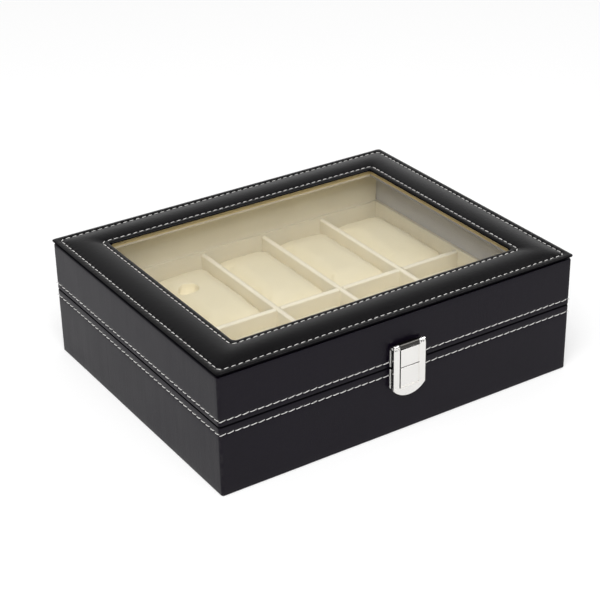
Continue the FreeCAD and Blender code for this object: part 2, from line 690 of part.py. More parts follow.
BARREL_X = f"({PANEL_X} - knuckle_gap)"
lid_plate = box("latch_lid_blank", span(PLATE_X), plate_y,
                (f"{SEAM} + plate_margin", f"{LATCH_Z} - latch_web / 2"))
web = box("latch_lid_web", span(BARREL_X), (f"-{LATCH_Y}", f"-{FACE_Y}"),
          (f"{LATCH_Z} - latch_web / 2", f"{LATCH_Z} + latch_web / 2"))
barrel = rod("latch_lid_barrel", "x", "latch_knuckle", f"2 * {BARREL_X}",
             f"-{BARREL_X}", f"-{LATCH_Y}", LATCH_Z)
latch_bore = rod("latch_lid_bore", "x", "latch_pin + pin_play", "latch_width",
                 "-latch_width / 2", f"-{LATCH_Y}", LATCH_Z)
keep(cut("latch_lid_plate", joined("latch_lid_body", [lid_plate, web, barrel]),
         group("latch_lid_holes", rivet_pass("latch_lid", 1) + [latch_bore])))
latch_rivets("latch_lid_rivets", 1)
keep(rod("latch_pin", "x", "latch_pin", "latch_width", "-latch_width / 2", f"-{LATCH_Y}", LATCH_Z))

hasp = doc.addObject("PartDesign::Body", "latch_hasp")
shield = sketch(hasp, "hasp_shield", "XZ_Plane", HASP_FACE)
side_foot = f"{LATCH_Z} - hasp_drop"
notch_foot = f"{LATCH_Z} - hasp_notch"
outline(shield, [
    ("-latch_width / 2", side_foot, "hasp_bow"),
    ("latch_width / 2", side_foot),
    ("latch_width / 2", LATCH_Z),
    (PANEL_X, LATCH_Z),
    (PANEL_X, notch_foot),
    (f"-{PANEL_X}", notch_foot),
    (f"-{PANEL_X}", LATCH_Z),
    ("-latch_width / 2", LATCH_Z),
])
pad(hasp, shield, "hasp", reverse=True)
for number, end in enumerate(("-latch_width / 2", PANEL_X), start=1):
    ear = sketch(hasp, f"hasp_ear_{number}", "YZ_Plane", end)
    pad(hasp, circle(ear, f"-{LATCH_Y}", LATCH_Z, "latch_knuckle"), "hasp_flange")
panel = sketch(hasp, "hasp_panel", "XZ_Plane", HASP_FACE)
panel_foot = f"{side_foot} + panel_end"
outline(panel, [(f"-{PANEL_X}", panel_foot), (PANEL_X, panel_foot),
                (PANEL_X, notch_foot), (f"-{PANEL_X}", notch_foot)])
pocket(hasp, panel, "panel_sink")
line = sketch(hasp, "hasp_line", "XZ_Plane", f"{HASP_FACE} - panel_sink")
outline(line, [(f"-{PANEL_X}", f"{SEAM} - scribe / 2"), (PANEL_X, f"{SEAM} - scribe / 2"),
               (PANEL_X, f"{SEAM} + scribe / 2"), (f"-{PANEL_X}", f"{SEAM} + scribe / 2")])
pocket(hasp, line, "scribe / 2")
bore = sketch(hasp, "hasp_bore", "YZ_Plane", "-latch_width")
pocket(hasp, circle(bore, f"-{LATCH_Y}", LATCH_Z, "latch_pin + pin_play"), "2 * latch_width", reverse=True)
keep(hasp)
keep(box("latch_spring", span("spring_width / 2"), (f"-{HASP_BACK}", f"spring_leaf - {HASP_BACK}"),
         (f"{SEAM} - stud_drop - spring_height / 2", f"{SEAM} - stud_drop + spring_height / 2")))

doc.recompute()
for item in doc.Objects:
    if {"Invalid", "Error"} & set(item.State):
        raise RuntimeError(f"{item.Name} failed: {item.State}")
for piece in pieces:
    if piece.Shape.isNull() or not piece.Shape.isValid() or not piece.Shape.Solids:
        raise RuntimeError(f"{piece.Label} is not a sound solid")

os.makedirs("parts", exist_ok=True)
for piece in pieces:
    piece.Shape.exportStep(f"parts/{piece.Label}.step")
print(f"{len(pieces)} pieces")
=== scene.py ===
import math

import bmesh
import bpy
from mathutils import Matrix, Vector, kdtree, noise


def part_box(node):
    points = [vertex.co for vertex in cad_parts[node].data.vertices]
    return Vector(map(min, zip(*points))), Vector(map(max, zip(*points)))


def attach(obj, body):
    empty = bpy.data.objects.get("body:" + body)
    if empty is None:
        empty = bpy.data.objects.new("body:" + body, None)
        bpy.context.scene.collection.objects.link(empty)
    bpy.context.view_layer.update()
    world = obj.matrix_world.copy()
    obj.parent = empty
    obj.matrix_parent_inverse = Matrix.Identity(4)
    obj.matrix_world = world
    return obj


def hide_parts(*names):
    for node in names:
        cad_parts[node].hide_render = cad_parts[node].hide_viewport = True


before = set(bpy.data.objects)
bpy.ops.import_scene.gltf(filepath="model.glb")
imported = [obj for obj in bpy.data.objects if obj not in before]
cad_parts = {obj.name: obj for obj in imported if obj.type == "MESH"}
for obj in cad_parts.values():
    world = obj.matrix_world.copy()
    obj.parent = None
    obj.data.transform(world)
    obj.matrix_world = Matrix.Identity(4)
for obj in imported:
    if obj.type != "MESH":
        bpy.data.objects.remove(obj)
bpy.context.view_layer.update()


# Felt under the base
# A sheet of black needled felt, glued to the underside so that the box stands softly on a
# dresser. It is cut a little smaller than the box and hides the turned-in leather.
class Wire:
    """A socket of a node tree. Sums and products of wires add Math nodes."""

    def __init__(self, tree, socket=None):
        self.tree = tree
        self.socket = socket

    def feed(self, socket, value):
        """Set a socket to a number or colour, or link it to another wire."""
        if isinstance(value, Wire):
            self.tree.links.new(value.socket, socket)
        elif socket.type == "RGBA":
            socket.default_value = (*value[:3], 1.0)
        else:
            socket.default_value = value

    def node(self, kind, settings=None, sockets=None, out=0):
        """Any node: its type, its settings, what its sockets get, and the output to go on with."""
        added = self.tree.nodes.new(kind)
        for name, setting in (settings or {}).items():
            setattr(added, name, setting)
        for name, value in (sockets or {}).items():
            self.feed(added.inputs[name], value)
        return Wire(self.tree, added.outputs[out])

    def maths(self, operation, first, second):
        return self.node("ShaderNodeMath", {"operation": operation}, {0: first, 1: second})

    def __add__(self, other):
        return self.maths("ADD", self, other)

    def __sub__(self, other):
        return self.maths("SUBTRACT", self, other)

    def __rsub__(self, other):
        return self.maths("SUBTRACT", other, self)

    def __mul__(self, other):
        return self.maths("MULTIPLY", self, other)

    def __abs__(self):
        return self.maths("ABSOLUTE", self, 0.0)

    def most(self, other):
        return self.maths("MAXIMUM", self, other)

    def wave(self):
        return self.maths("SINE", self, 0.0)

    def rise(self, low, high):
        """0 up to one value, 1 from another, and smooth between."""
        return self.node("ShaderNodeMapRange", {"interpolation_type": "SMOOTHSTEP"},
                         {"Value": self, "From Min": low, "From Max": high})

    def mix(self, low, high):
        """Two colours, mixed by this value."""
        return self.node("ShaderNodeMix", {"data_type": "RGBA"}, {0: self, 6: low, 7: high}, 2)

    def axes(self):
        """The three parts of a place."""
        parts = self.node("ShaderNodeSeparateXYZ", sockets={0: self}).socket.node
        return [Wire(self.tree, part) for part in parts.outputs]

    def grain(self, per_metre, detail=3.0, roughness=0.55):
        """Cloudy noise at this place."""
        return self.node("ShaderNodeTexNoise", sockets={
            "Vector": self, "Scale": per_metre, "Detail": detail, "Roughness": roughness})

    def cells(self, per_metre, feature="F1"):
        """Pebbles at this place, 0 in their middles."""
        return self.node("ShaderNodeTexVoronoi", {"feature": feature}, {"Vector": self, "Scale": per_metre})

    def relief(self, depth, strength=1.0):
        """A normal from this height."""
        return self.node("ShaderNodeBump", sockets={
            "Height": self, "Distance": depth, "Strength": strength})


def new_finish(name):
    """A material, and a wire that holds the place on its piece."""
    material = bpy.data.materials.new(name)
    material.use_nodes = True
    return material, Wire(material.node_tree).node("ShaderNodeTexCoord", out="Object")


def shade(place, sockets):
    """Set the sockets of a finish's shader."""
    shader = place.tree.nodes["Principled BSDF"]
    for name, value in sockets.items():
        place.feed(shader.inputs[name], value)


def lay_on(material, *names):
    """Give CAD nodes a finish."""
    for name in names:
        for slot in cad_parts[name].material_slots:
            slot.material = material


felt, place = new_finish("black_felt")
fibres = place.grain(2400.0, 5.0, 0.7)
shade(place, {
    "Base Color": fibres.mix((0.006, 0.006, 0.007), (0.032, 0.031, 0.033)),
    "Roughness": 0.96,
    "Specular IOR Level": 0.15,
    "Sheen Weight": 0.25,
    "Normal": fibres.relief(0.0005),
})
lay_on(felt, "bottom_felt")


# Boards of the base and the lid
# Medium-density fibreboard, sawn to strips and glued at the corners. It is the core of every
# wall and of the bottom, and the leather and the lining hide nearly all of it.
board, place = new_finish("fibreboard")
dust = place.grain(900.0, 5.0, 0.65)
flakes = place.grain(160.0)
shade(place, {
    "Base Color": (dust * 0.7 + flakes * 0.3).mix((0.27, 0.19, 0.11), (0.52, 0.40, 0.25)),
    "Roughness": dust * 0.15 + 0.72,
    "Normal": dust.relief(0.0002),
})
lay_on(board, "base_bottom_board", *(f"{half}_{side}_wall" for half in ("base", "lid")
                                     for side in ("front", "back", "left", "right")))


# Leather of the base
# Black split leather with a fine pressed grain, 0.8 mm thick. It is glued round the four
# walls, rolled over their rims and turned 12 mm under the bottom.
MM = 0.001
FACE_X, FACE_Y = 123.7, 99.6
WALL_CORNER = 1.6
SKIN = 0.8
WALL = 6.4
WALL_PITCH = 4.93
SEAM = 44.6
HOLE_DEEP = 1.5
WALL_DARK, WALL_LIGHT = (0.0021, 0.0008, 0.0042), (0.0042, 0.0022, 0.0072)


def leather(name, wear, shaded_joints, dark, light):
    """Pressed black leather. Wear gives the rubbed edges of a piece, and a second function gives its turned
    edges in the joints, which get a matt near-black in place of the leather as painted shade."""
    material, place = new_finish(name)
    pebbles = place.cells(1150.0, "SMOOTH_F1")
    pores = place.grain(2900.0, 3.0)
    clouds = place.grain(38.0, 3.0)
    stretched = place.node("ShaderNodeMapping", sockets={"Vector": place, "Scale": (330.0, 330.0, 16.0)})
    drawn = stretched.grain(1.0, 2.0)
    rubbed = wear(place) * place.grain(210.0, 4.0).rise(0.42, 0.72)
    hide = clouds.mix(dark, light)
    shade(place, {
        "Base Color": (rubbed * 0.35).mix(hide, (0.034, 0.032, 0.033)),
        "Roughness": clouds * 0.10 + pores * 0.08 + drawn * 0.08 + 0.22 + rubbed * 0.08,
        "Specular IOR Level": 0.19,
        "Normal": (pebbles * 0.8 + pores * 0.35 + drawn * 0.7).relief(0.00012, 0.55),
    })
    # A matt near-black for the turned edges in the joints: painted shade.
    painted_shade_black = place.node("ShaderNodeBsdfDiffuse", sockets={"Color": (0.004, 0.004, 0.005)})
    surface = place.tree.nodes["Material Output"].inputs["Surface"]
    whole = Wire(place.tree, surface.links[0].from_socket)
    place.feed(surface, place.node("ShaderNodeMixShader", sockets={0: shaded_joints(place), 1: whole, 2: painted_shade_black}))
    return material


def near(wire, level, reach):
    """1 at a level, 0 a reach away from it."""
    return 1.0 - abs(wire - level).rise(0.0, reach)


def wall_wear(place):
    """Rubbed upright corners of a wall."""
    x, y, z = place.axes()
    return (abs(x) - FACE_X * MM).rise(-0.0022, -0.0006) * (abs(y) - FACE_Y * MM).rise(-0.0022, -0.0006)


def seam_shaded_joint(place):
    """The rolled edges that meet at the seam, given a matt near-black as painted shade in the joint."""
    x, y, z = place.axes()
    return 1.0 - abs(z - SEAM * MM).rise(0.0005, 0.0009)


def loop(half_x, half_y, radius, steps_x, steps_y, turn=6):
    """Points and outward directions round a rectangle with rounded corners, anticlockwise
    from the right end of the front."""
    points, outs = [], []
    corners = ((1, -1, -90), (1, 1, 0), (-1, 1, 90), (-1, -1, 180))
    for number, (side_x, side_y, start) in enumerate(corners):
        middle = Vector((side_x * (half_x - radius), side_y * (half_y - radius)))
        for step in range(turn):
            angle = math.radians(start + 90 * step / turn)
            out = Vector((math.cos(angle), math.sin(angle)))
            points.append(middle + out * radius)
            outs.append(out)
        angle = math.radians(start + 90)
        out = Vector((round(math.cos(angle)), round(math.sin(angle))))
        first = middle + out * radius
        following = corners[(number + 1) % 4]
        last = Vector((following[0] * (half_x - radius), following[1] * (half_y - radius))) + out * radius
        steps = steps_x if number % 2 else steps_y
        for step in range(steps):
            points.append(first.lerp(last, step / steps))
            outs.append(out)
    return points, outs


def row_places(half_x, half_y, radius, height, pitch, up):
    """Stitch middles and needle holes, evenly spaced along a closed row. Each is its place, the
    direction along the row and the direction out of the leather, in millimetres."""
    points, outs = loop(half_x, half_y, radius, 400, 320, 12)
    lengths = [(points[(index + 1) % len(points)] - point).length for index, point in enumerate(points)]
    count = round(sum(lengths) / pitch)
    half_pitch = sum(lengths) / count / 2
    middles, holes = [], []
    gone, number = 0.0, 0
    for index, length in enumerate(lengths):
        while number < 2 * count and gone + length > number * half_pitch:
            share = (number * half_pitch - gone) / length
            following = points[(index + 1) % len(points)]
            spot = points[index].lerp(following, share)
            along = (following - points[index]).normalized()
            out = Vector((0, 0, 1)) if up else Vector((*outs[index], 0))
            (middles if number % 2 else holes).append((Vector((*spot, height)), Vector((*along, 0)), out))
            number += 1
        gone += length
    return middles, holes


def swept(section, loop_at):
    """A closed skin: an outline of insets and heights, in millimetres, carried round the box."""
    skin = bmesh.new()
    rings = []
    for inset, height in section:
        points = loop_at(inset)[0]
        rings.append([skin.verts.new((*(point * MM), height * MM)) for point in points])
    count = len(rings[0])
    for index, ring in enumerate(rings):
        after = rings[(index + 1) % len(rings)]
        for here in range(count):
            there = (here + 1) % count
            skin.faces.new((ring[here], ring[there], after[there], after[here]))
    bmesh.ops.recalc_face_normals(skin, faces=skin.faces)
    return skin


def press_holes(verts, holes, depth, reach_along, reach_across):
    """Draw the leather in at each needle hole, in a short tick across the row."""
    tree = kdtree.KDTree(len(holes))
    for number, (spot, along, out) in enumerate(holes):
        tree.insert(spot * MM, number)
    tree.balance()
    for vert in verts:
        close, number, gap = tree.find(vert.co)
        if gap > 3 * reach_across * MM:
            continue
        spot, along, out = holes[number]
        away = (vert.co - close) / MM
        down = away.dot(out)
        aside = away.dot(along)
        across = math.sqrt(max(away.length_squared - aside ** 2 - down ** 2, 0.0))
        pull = math.exp(-(aside / reach_along) ** 2 - (across / reach_across) ** 2 - (down / HOLE_DEEP) ** 2)
        vert.co -= out * depth * pull * MM


def new_piece(name, mesh, material, body, slot, *nodes):
    """Put a finished mesh in the scene, on its body, in place of its CAD nodes."""
    thing = bpy.data.objects.new(name, mesh)
    bpy.context.scene.collection.objects.link(thing)
    mesh.materials.clear()
    mesh.materials.append(material)
    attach(thing, body)
    if nodes:
        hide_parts(*nodes)
    return thing


def as_mesh(skin, name, sharp=45):
    """Turn a worked skin into a smooth mesh with its sharp edges kept."""
    mesh = bpy.data.meshes.new(name)
    skin.to_mesh(mesh)
    skin.free()
    mesh.shade_smooth()
    mesh.set_sharp_from_angle(angle=math.radians(sharp))
    return mesh


def wall_section(foot, top, row, fold, sag):
    """Outline of the leather over a wall: up the outside, over the rim, down the board."""
    roll = 0.9
    bend = [(roll * (1 - math.cos(math.radians(a))), roll * (1 - math.sin(math.radians(a))))
            for a in (0, 18, 36, 54, 72, 90)]
    heel = [(inset * 0.55, rise * 0.55 - sag) for inset, rise in bend]
    rows = [(0.0, -1.6), (0.05, -0.95), (0.16, -0.5), (0.24, 0.0), (0.16, 0.5), (0.05, 0.95), (0.0, 1.6)]
    face = [(inset, row + level) for inset, level in rows]
    levels = [foot + roll + step * (top - foot - 2 * roll) / 10 for step in range(1, 10)]
    face += [(0.0, level) for level in levels if abs(level - row) > 2.4]
    face.sort(key=lambda spot: spot[1])
    return ([(inset, foot + rise) for inset, rise in reversed(heel)] + face
            + [(inset, top - drop) for inset, drop in bend]
            + [(3.5, top), (WALL, top), (WALL, top - SKIN), (SKIN, top - SKIN), (SKIN, foot + SKIN),
               (fold, foot + SKIN), (fold, foot), (fold / 2, foot), (1.4, foot)])


def wall_leather(name, foot, top, row, fold, holes, sag=0.0):
    """The leather of one half of the box, as laid by hand: nearly flat, drawn in at the stitches."""
    def loop_at(inset):
        return loop(FACE_X - inset, FACE_Y - inset, max(WALL_CORNER - inset, 0.05), 188, 152)

    skin = swept(wall_section(foot, top, row, fold, sag), loop_at)
    for vert in skin.verts:
        x, y, z = vert.co / MM
        depth = min(FACE_X - abs(x), FACE_Y - abs(y))
        if depth > 0.6:
            continue
        out = Vector((x / FACE_X, 0, 0)) if FACE_X - abs(x) < FACE_Y - abs(y) else Vector((0, y / FACE_Y, 0))
        wave = 0.07 * noise.noise(vert.co * 26.0) + 0.025 * noise.noise(vert.co * 95.0)
        vert.co += out.normalized() * wave * MM
    press_holes(skin.verts, holes, 0.16, 0.9, 0.8)
    return as_mesh(skin, name)


BASE_FOOT, BASE_TOP, BASE_ROW = 0.6, 44.4, 39.7
base_stitches, base_holes = row_places(FACE_X, FACE_Y, WALL_CORNER, BASE_ROW, WALL_PITCH, up=False)
base_hide = wall_leather("base_leather_skin", BASE_FOOT, BASE_TOP, BASE_ROW, 12.0, base_holes, 0.4)
base_leather = leather("base_black_leather", wall_wear, seam_shaded_joint, WALL_DARK, WALL_LIGHT)
new_piece("base_leather_skin", base_hide, base_leather, "base", "black_leather", "base_leather")


# Stitches of the base
# One row of off-white waxed thread below the seam, sewn before the leather was glued on. The
# stitches lean a little, and none show behind the latch plate and the hinge leaves.
def stitch_shape(length, thick):
    """One stitch along X: thread that dives into its needle holes at both ends."""
    strand = bmesh.new()
    twist = strand.loops.layers.uv.new("twist")
    rings, sides = 6, 6
    grid = []
    for ring in range(rings + 1):
        way = 2 * ring / rings - 1
        half = thick / 2 * (1 - 0.25 * way ** 6)
        middle = Vector((way * length / 2, 0, 0.05 - 0.42 * way ** 6))
        circle = [math.radians(360 * side / sides) for side in range(sides)]
        ring_spots = [middle + Vector((0, half * math.cos(a), 0.8 * half * math.sin(a))) for a in circle]
        grid.append([strand.verts.new(spot * MM) for spot in ring_spots])
    for ring in range(rings):
        for side in range(sides):
            after = (side + 1) % sides
            face = strand.faces.new((grid[ring][side], grid[ring + 1][side],
                                     grid[ring + 1][after], grid[ring][after]))
            marks = ((ring, side), (ring + 1, side), (ring + 1, side + 1), (ring, side + 1))
            for corner, (u, v) in zip(face.loops, marks):
                corner[twist].uv = (u / rings, v / sides)
    strand.faces.new(grid[0])
    strand.faces.new(reversed(grid[-1]))
    bmesh.ops.recalc_face_normals(strand, faces=strand.faces)
    return as_mesh(strand, "stitch_shape", 80)


def repeat_tree():
    """Geometry nodes that set one shape at every point, lying along and facing out."""
    tree = bpy.data.node_groups.new("set_in_row", "GeometryNodeTree")
    start = Wire(tree)
    asked = (("Points", "NodeSocketGeometry"), ("Shape", "NodeSocketObject"), ("Lean", "NodeSocketFloat"),
             ("Looseness", "NodeSocketFloat"), ("Seed", "NodeSocketInt"), ("Finish", "NodeSocketMaterial"))
    for name, kind in asked:
        tree.interface.new_socket(name, in_out="INPUT", socket_type=kind)
    tree.interface.new_socket("Pieces", in_out="OUTPUT", socket_type="NodeSocketGeometry")
    given = start.node("NodeGroupInput").socket.node
    points, shape, lean, loose, seed, finish = (Wire(tree, given.outputs[name]) for name, kind in asked)

    def direction(name):
        return start.node("GeometryNodeInputNamedAttribute", {"data_type": "FLOAT_VECTOR"}, {"Name": name})

    turn = start.node("FunctionNodeAlignRotationToVector", {"axis": "X"}, {"Vector": direction("along")})
    turn = start.node("FunctionNodeAlignRotationToVector", {"axis": "Z", "pivot_axis": "X"},
                      {"Rotation": turn, "Vector": direction("out")})
    stray = start.node("FunctionNodeRandomValue", {"data_type": "FLOAT"},
                       {2: -1.0, 3: 1.0, "Seed": seed}, 1)
    swing = start.node("FunctionNodeAxisAngleToRotation", sockets={
        "Axis": (0.0, 0.0, 1.0), "Angle": lean + stray * loose})
    turn = start.node("FunctionNodeRotateRotation", {"rotation_space": "LOCAL"},
                      {"Rotation": turn, "Rotate By": swing})
    item = start.node("GeometryNodeObjectInfo", sockets={"Object": shape}, out="Geometry")
    placed = start.node("GeometryNodeInstanceOnPoints", sockets={
        "Points": points, "Instance": item, "Rotation": turn})
    whole = start.node("GeometryNodeRealizeInstances", sockets={"Geometry": placed})
    dressed = start.node("GeometryNodeSetMaterial", sockets={"Geometry": whole, "Material": finish})
    start.feed(tree.nodes.new("NodeGroupOutput").inputs[0], dressed)
    return tree


in_row = repeat_tree()


def repeated(name, spots, shape, material, lean, looseness, seed):
    """Run the geometry nodes on a list of places, and give the result as a plain mesh."""
    points = bpy.data.meshes.new(f"{name}_points")
    points.from_pydata([spot * MM for spot, along, out in spots], [], [])
    for title, part in (("along", 1), ("out", 2)):
        layer = points.attributes.new(title, "FLOAT_VECTOR", "POINT")
        layer.data.foreach_set("vector", [axis for spot in spots for axis in spot[part]])
    carrier = bpy.data.objects.new(f"{name}_points", points)
    pattern = bpy.data.objects.new(f"{name}_shape", shape)
    bpy.context.scene.collection.objects.link(carrier)
    bpy.context.scene.collection.objects.link(pattern)
    modifier = carrier.modifiers.new("row", "NODES")
    modifier.node_group = in_row
    given = {"Shape": pattern, "Lean": lean, "Looseness": looseness, "Seed": seed, "Finish": material}
    for socket in in_row.interface.items_tree:
        if socket.name in given:
            modifier[socket.identifier] = given[socket.name]
    ready = carrier.evaluated_get(bpy.context.evaluated_depsgraph_get())
    mesh = bpy.data.meshes.new_from_object(ready)
    mesh.name = name
    bpy.data.objects.remove(carrier)
    bpy.data.objects.remove(pattern)
    return mesh


STITCH_LEAN, STITCH_LOOSE = math.radians(7), 0.05
THREAD_SINK = 0.06
HINGE_X = 80.0


def open_row(spots):
    """The stitches of a wall row that no fitting covers: latch at the front, hinges at the back."""
    def free(spot):
        if spot.y < 0:
            return abs(spot.x) > 11.6 or spot.y > -90
        return min(abs(spot.x - HINGE_X), abs(spot.x + HINGE_X)) > 15.0 or spot.y < 90

    return [(spot - out * THREAD_SINK, along, out) for spot, along, out in spots if free(spot)]


thread, place = new_finish("waxed_thread")
twisted = place.node("ShaderNodeUVMap", {"uv_map": "twist"})
turn_along, turn_round = twisted.axes()[:2]
strands = ((turn_along * 5.0 + turn_round) * math.tau).wave()
soil = place.grain(120.0)
shade(place, {
    "Base Color": soil.mix((0.58, 0.57, 0.55), (0.74, 0.73, 0.71)),
    "Roughness": 0.62,
    "Sheen Weight": 0.2,
    "Normal": strands.relief(0.00006),
})
wall_stitch = stitch_shape(4.3, 0.6)
base_rows = repeated("base_stitches", open_row(base_stitches), wall_stitch, thread,
                     STITCH_LEAN, STITCH_LOOSE, 4)
new_piece("base_stitches", base_rows, thread, "base", None)


# Lining and dividers of the base
# Cream velvet paper on card. The floor and the four sides are glued in, and the padded
# dividers are slotted half and half into each other and stand loose between the sides.
def velvet(name, dark, light, nap=0.0003):
    """Short matt pile, a little cloudy."""
    material, place = new_finish(name)
    pile = place.grain(3000.0, 4.0, 0.6)
    brushed = place.grain(55.0, 3.0)
    shade(place, {
        "Base Color": (brushed * 0.75 + pile * 0.25).mix(dark, light),
        "Roughness": pile * 0.1 + 0.86,
        "Specular IOR Level": 0.2,
        "Sheen Weight": 0.15,
        "Normal": (pile + brushed * 2.0).relief(nap),
    })
    return material


cream_lining = velvet("cream_velvet_paper", (0.88, 0.81, 0.635), (0.94, 0.885, 0.72))
lay_on(cream_lining, "base_liner_floor", "long_divider",
       *(f"base_liner_{side}" for side in ("front", "back", "left", "right")),
       *(f"cross_divider_{number}" for number in range(1, 5)))


# Pillows
# Ten loose cushions of cream velvet, sewn round a block of foam and pushed into the
# compartments, one for each watch. They are blown up like a sewn cover over its filling.
SIM_SCALE = 10.0
CLOTH_STIFFNESS = 15.0
PILLOW_HIGH = 36.0
PILLOW_HALF_X, PILLOW_HALF_Y = 21.0, 44.0
DENT_PLACE = Vector((-54.4, 55.9)) * MM
DENT_RADIUS = 6.5
DENT_DEPTH = 7.0


def worked(thing):
    """The mesh of an object with its modifiers run."""
    return bpy.data.meshes.new_from_object(thing.evaluated_get(bpy.context.evaluated_depsgraph_get()))


def blown_up(mesh, pressure, cap, pins=None):
    """A mesh inflated as cloth, with no point moved further than a cap in millimetres."""
    start = [vert.co.copy() for vert in mesh.vertices]
    mesh.transform(Matrix.Scale(SIM_SCALE, 4))
    cover = bpy.data.objects.new("cloth_work", mesh)
    bpy.context.scene.collection.objects.link(cover)
    if pins:
        cover.vertex_groups.new(name="sewn").add(pins, 1.0, "REPLACE")
    cloth = cover.modifiers.new("cloth", "CLOTH")
    cloth.settings.use_pressure = True
    cloth.settings.uniform_pressure_force = pressure
    cloth.settings.effector_weights.gravity = 0.0
    cloth.settings.tension_stiffness = CLOTH_STIFFNESS
    cloth.settings.compression_stiffness = CLOTH_STIFFNESS
    cloth.settings.quality = 5
    cloth.collision_settings.use_collision = False
    if pins:
        cloth.settings.vertex_group_mass = "sewn"
    cloth.point_cache.frame_end = 20
    for step in range(1, 21):
        bpy.context.scene.frame_set(step)
    swollen = worked(cover)
    bpy.data.objects.remove(cover)
    bpy.context.scene.frame_set(1)
    swollen.transform(Matrix.Scale(1 / SIM_SCALE, 4))
    for vert, origin in zip(swollen.vertices, start):
        shift = vert.co - origin
        if shift.length > cap * MM:
            vert.co = origin + shift.normalized() * cap * MM
    return swollen


def pillow_cover(seed):
    """One stuffed pillow about its own middle, on its seat at height 0."""
    low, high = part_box("pillow_back_3")
    rough = bmesh.new()
    rough.from_mesh(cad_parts["pillow_back_3"].data)
    bmesh.ops.remove_doubles(rough, verts=rough.verts, dist=1e-6)
    bmesh.ops.translate(rough, verts=rough.verts, vec=(-(low.x + high.x) / 2, -(low.y + high.y) / 2, -low.z))
    mesh = bpy.data.meshes.new("pillow_work")
    rough.to_mesh(mesh)
    rough.free()
    block = bpy.data.objects.new("pillow_work", mesh)
    bpy.context.scene.collection.objects.link(block)
    remesh = block.modifiers.new("even_mesh", "REMESH")
    remesh.mode = "VOXEL"
    remesh.voxel_size = 2.2 * MM
    evened = block.modifiers.new("evened", "SMOOTH")
    evened.iterations = 8
    even = worked(block)
    bpy.data.objects.remove(block)
    for vert in even.vertices:
        slack = noise.noise(vert.co * 60.0 + Vector((seed * 7.0, 0, 0)))
        vert.co *= 0.995
        vert.co.z += slack * 0.35 * MM * min(vert.co.z / 0.010, 1.0)
    even = blown_up(even, 6.0, 2.0)
    for vert in even.vertices:
        vert.co.x = max(-PILLOW_HALF_X * MM, min(PILLOW_HALF_X * MM, vert.co.x))
        vert.co.y = max(-PILLOW_HALF_Y * MM, min(PILLOW_HALF_Y * MM, vert.co.y))
        vert.co.z = 1.03 * PILLOW_HIGH * MM * (max(0.0, vert.co.z) / PILLOW_HIGH / MM) ** 0.85
    return even


def dented(mesh):
    """A pillow with a round dent, left in the foam by something that was stored on it."""
    skin = bmesh.new()
    skin.from_mesh(mesh)
    for step in range(2):
        close = [edge for edge in skin.edges if edge.verts[0].co.z > 0.025
                 and (edge.verts[0].co.to_2d() - DENT_PLACE).length < (DENT_RADIUS + 4.0) * MM]
        bmesh.ops.subdivide_edges(skin, edges=close, cuts=1, use_grid_fill=True, smooth=0.6)
    for vert in skin.verts:
        away = (vert.co.to_2d() - DENT_PLACE).length / MM
        if vert.co.z > 0.025:
            vert.co.z -= DENT_DEPTH * MM * max(1.0 - (away / DENT_RADIUS) ** 2, 0.0) ** 0.5
    return as_mesh(skin, mesh.name, 180)


pillow_velvet = velvet("pillow_velvet", (0.81, 0.725, 0.50), (0.87, 0.79, 0.58), 0.0002)
pillow_covers = [pillow_cover(seed) for seed in range(3)]
for number in range(10):
    name = f"pillow_{('back', 'front')[number // 5]}_{number % 5 + 1}"
    low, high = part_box(name)
    mesh = pillow_covers[number % 3].copy()
    mesh.name = f"{name}_cover"
    mesh.transform(Matrix.Rotation(math.pi * (number % 2), 4, "Z"))
    for vert in mesh.vertices:
        end = max(0.0, (-vert.co.y / MM - 26.0) / 18.0)
        vert.co.x *= math.sqrt(1.0 - 0.5 * end ** 2)
    mesh.transform(Matrix.Translation(((low.x + high.x) / 2, (low.y + high.y) / 2, low.z)))
    if name == "pillow_back_2":
        mesh = dented(mesh)
    mesh.shade_smooth()
    pillow = new_piece(f"{name}_cover", mesh, pillow_velvet, name, "pillow_cloth", name)
    fuller = pillow.modifiers.new("fuller", "SUBSURF")
    fuller.levels = 1
    fuller.render_levels = 1


# Leather of the lid
# The same leather as on the base, glued round the four lid walls and rolled over both rims.
# The padded cover sits on its upper rim and leaves a narrow dark joint.
LID_FOOT, LID_TOP, LID_ROW = 44.8, 75.6, 48.3
lid_stitches, lid_holes = row_places(FACE_X, FACE_Y, WALL_CORNER, LID_ROW, WALL_PITCH, up=False)
lid_hide = wall_leather("lid_leather_skin", LID_FOOT, LID_TOP, LID_ROW, WALL, lid_holes)
lid_leather = leather("lid_black_leather", wall_wear, seam_shaded_joint, WALL_DARK, WALL_LIGHT)
new_piece("lid_leather_skin", lid_hide, lid_leather, "lid", "black_leather", "lid_leather")


# Lining of the lid
# Velvet paper on card, cream at the front and back and grey at the two ends, with a cream
# cloth tape along the foot of the back, which hangs a little over the joint with the base.
TAPE_HANG = 1.1
lay_on(cream_lining, "lid_liner_front", "lid_liner_back")
low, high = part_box("lid_back_tape")
tape = bmesh.new()
bmesh.ops.create_cube(tape, size=1.0)
for vert in tape.verts:
    vert.co = [low[axis] if vert.co[axis] < 0 else high[axis] for axis in range(3)]
    if vert.co.z < high.z:
        vert.co.z -= TAPE_HANG * MM
new_piece("lid_back_tape_cloth", as_mesh(tape, "lid_back_tape_cloth"), cream_lining, "lid", "cream_lining",
          "lid_back_tape")
grey_lining = velvet("grey_velvet_paper", (0.56, 0.551, 0.553), (0.63, 0.621, 0.623))
lay_on(grey_lining, "lid_liner_left", "lid_liner_right")


